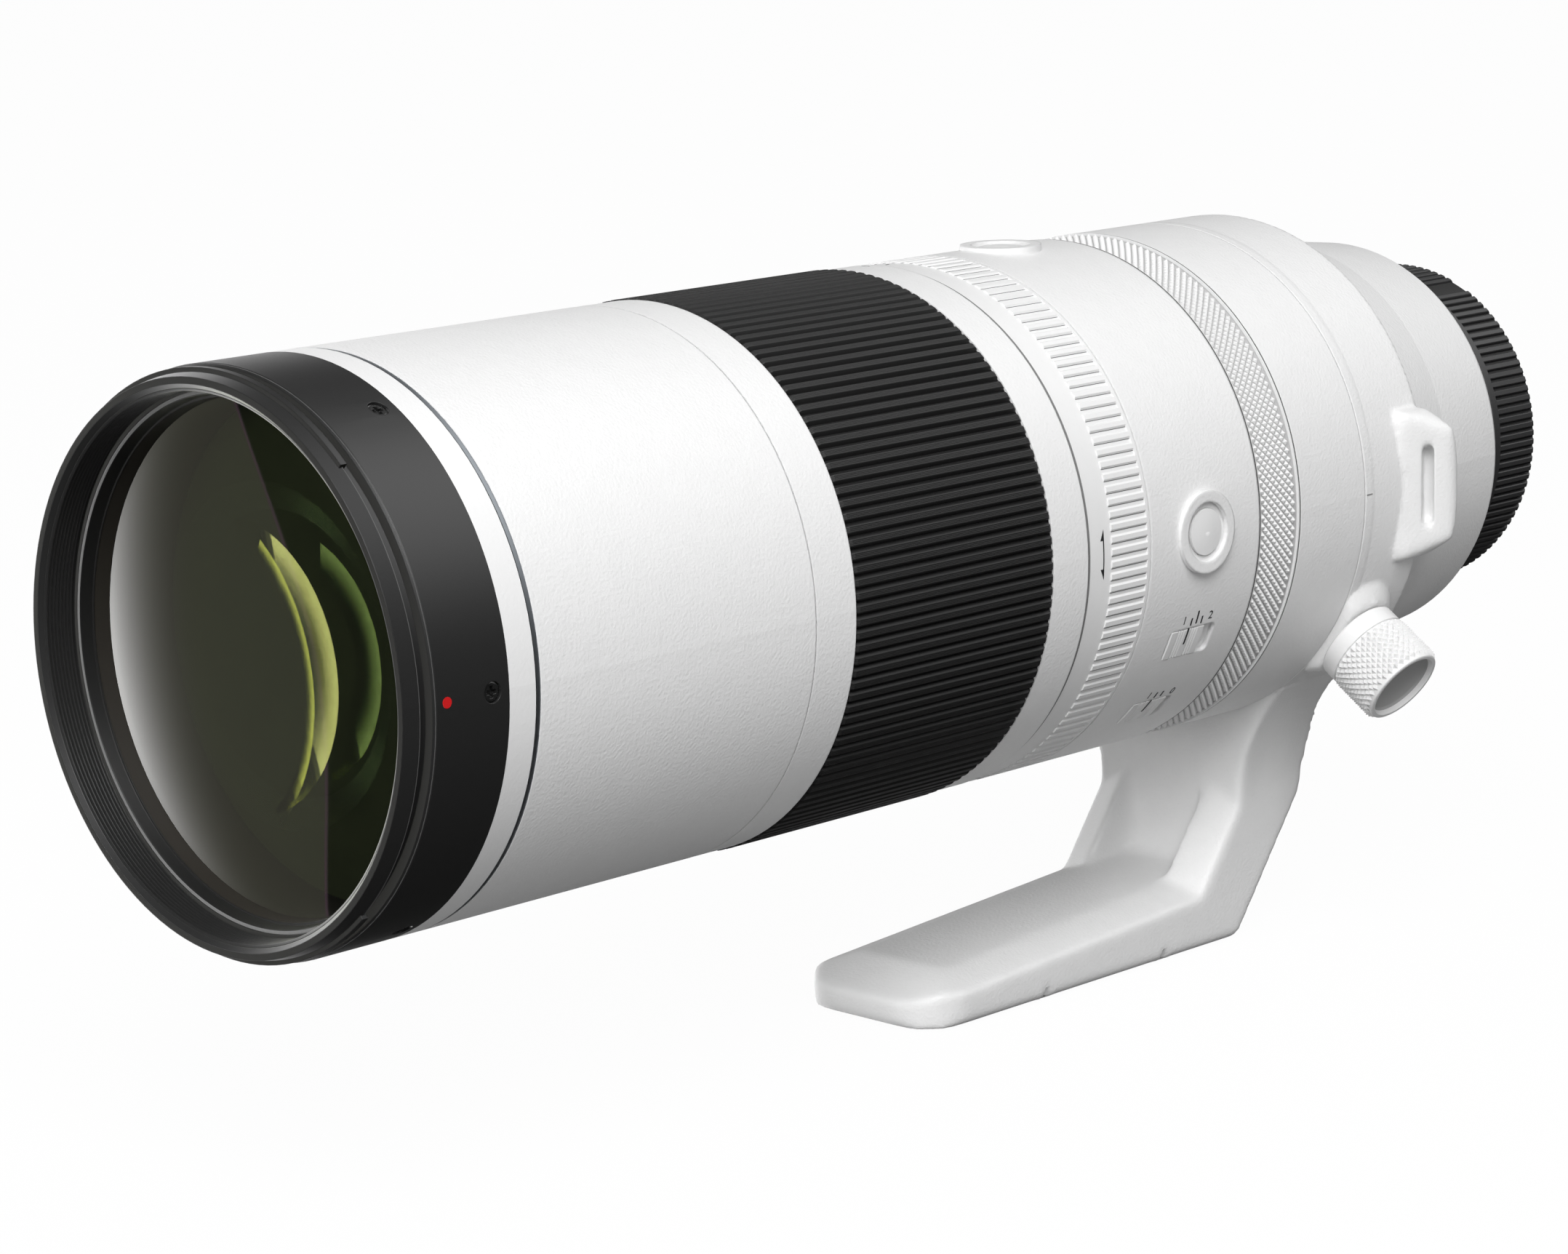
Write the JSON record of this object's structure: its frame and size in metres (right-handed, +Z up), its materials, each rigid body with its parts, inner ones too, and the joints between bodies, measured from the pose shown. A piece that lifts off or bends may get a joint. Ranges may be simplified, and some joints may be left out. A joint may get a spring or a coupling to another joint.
{
  "type": "camera zoom lens",
  "caption": "Large white telephoto zoom lens with an extending front barrel, rubber zoom ring, tension ring, tripod collar with a foot, lock knob and rear cap.",
  "frame": {"origin": "centre of the camera mount's flange face, on the lens axis", "axes": "+Y along the lens axis towards the camera, so the front glass looks along -Y; +Z up, away from the foot; +X is the side with the switches"},
  "size_m": [0.1173, 0.3306, 0.1479],
  "materials": {
    "white_paint": "fine stippled off-white paint",
    "black_metal": "satin black",
    "front_glass": "coated, dark olive",
    "glass": "coated",
    "steel": "satin",
    "grey_metal": "satin anodised",
    "anodised_metal": "dark anodised",
    "grip_rubber": "matt charcoal",
    "white_plastic": "satin off-white",
    "black_plastic": "matt black",
    "bright_metal": "bright plated",
    "gold": "gold plated",
    "board": "green lacquer"
  },
  "bodies": {
    "barrel": {"mouth_ring": "grey_metal", "outer_barrel": "white_paint", "guide_tube": "anodised_metal", "main_barrel": "white_paint", "stabiliser_unit": "black_metal", "stabiliser_element": "glass", "focus_rails": "steel", "rear_bulkhead": "black_metal", "rear_barrel": "white_paint", "main_board": "board", "mount_base": "black_metal", "mount_gasket": "grip_rubber", "bayonet_mount": "bright_metal", "mount_screws": "steel", "contact_block": "black_plastic", "contact_pins": "gold", "rear_cell": "black_metal", "rear_element": "glass"},
    "zoom": {"zoom_ring": "white_paint", "zoom_grip": "grip_rubber", "zoom_key": "steel", "cam_barrel": "anodised_metal"},
    "front": {"front_ring": "black_metal", "front_ring_screws": "black_metal", "front_retainer": "black_metal", "front_element": "front_glass", "second_element": "glass", "front_cell": "black_metal", "front_tube": "white_paint", "cam_followers": "steel"},
    "variator": {"variator_cell": "black_metal", "variator_element": "glass", "variator_followers": "steel"},
    "tension": {"tension_ring": "white_paint"},
    "control": {"control_ring": "white_paint"},
    "side_button_body": {"side_button": "white_plastic"},
    "top_button_body": {"top_button": "white_plastic"},
    "focus_switch_body": {"focus_switch": "white_plastic"},
    "stabiliser_switch_body": {"stabiliser_switch": "white_plastic"},
    "focus": {"focus_cell": "black_metal", "focus_element": "glass"},
    "collar": {"tripod_collar": "white_paint", "foot_bush": "steel"},
    "knob": {"lock_knob": "white_paint"},
    "cap": {"rear_cap": "black_plastic"}
  },
  "joints": [
    {"name": "zoom_turn", "type": "hinge", "parent": "barrel", "child": "zoom", "pos_m": [0, -0.19, 0], "axis": [0, 1, 0], "range_deg": [0, 120]},
    {"name": "front_extend", "type": "slide", "parent": "barrel", "child": "front", "axis": [0, -1, 0], "range_m": [0, 0.098]},
    {"name": "variator_shift", "type": "slide", "parent": "barrel", "child": "variator", "axis": [0, 1, 0], "range_m": [0, 0.024]},
    {"name": "tension_turn", "type": "hinge", "parent": "barrel", "child": "tension", "pos_m": [0, -0.14, 0], "axis": [0, 1, 0], "range_deg": [-30, 30]},
    {"name": "control_turn", "type": "hinge", "parent": "barrel", "child": "control", "pos_m": [0, -0.092, 0], "axis": [0, 1, 0], "continuous": true},
    {"name": "side_button_press", "type": "slide", "parent": "barrel", "child": "side_button_body", "axis": [-1, 0, 0], "range_m": [0, 0.0006], "stiffness_N_per_m": 500, "springref_m": -0.001},
    {"name": "top_button_press", "type": "slide", "parent": "barrel", "child": "top_button_body", "axis": [0, 0, -1], "range_m": [0, 0.0006], "stiffness_N_per_m": 500, "springref_m": -0.001},
    {"name": "focus_switch_slide", "type": "slide", "parent": "barrel", "child": "focus_switch_body", "axis": [0, 1, 0], "range_m": [0, 0.0032]},
    {"name": "stabiliser_switch_slide", "type": "slide", "parent": "barrel", "child": "stabiliser_switch_body", "axis": [0, 1, 0], "range_m": [0, 0.00165]},
    {"name": "focus_shift", "type": "slide", "parent": "barrel", "child": "focus", "axis": [0, 1, 0], "range_m": [0, 0.014]},
    {"name": "collar_turn", "type": "hinge", "parent": "barrel", "child": "collar", "pos_m": [0, -0.055, 0], "axis": [0, 1, 0], "continuous": true},
    {"name": "lock_knob_turn", "type": "hinge", "parent": "collar", "child": "knob", "pos_m": [0.04366, -0.0585, -0.03092], "axis": [0.8161, 0, -0.5779], "range_deg": [0, 270]},
    {"name": "rear_cap_turn", "type": "hinge", "parent": "barrel", "child": "cap", "pos_m": [0, 0.008, 0], "axis": [0, 1, 0], "range_deg": [0, 60]}
  ],
  "couplings": [
    {"joint": "front_extend", "follows": "zoom_turn", "m_per_rad": 0.04679},
    {"joint": "variator_shift", "follows": "zoom_turn", "m_per_rad": 0.011459}
  ]
}
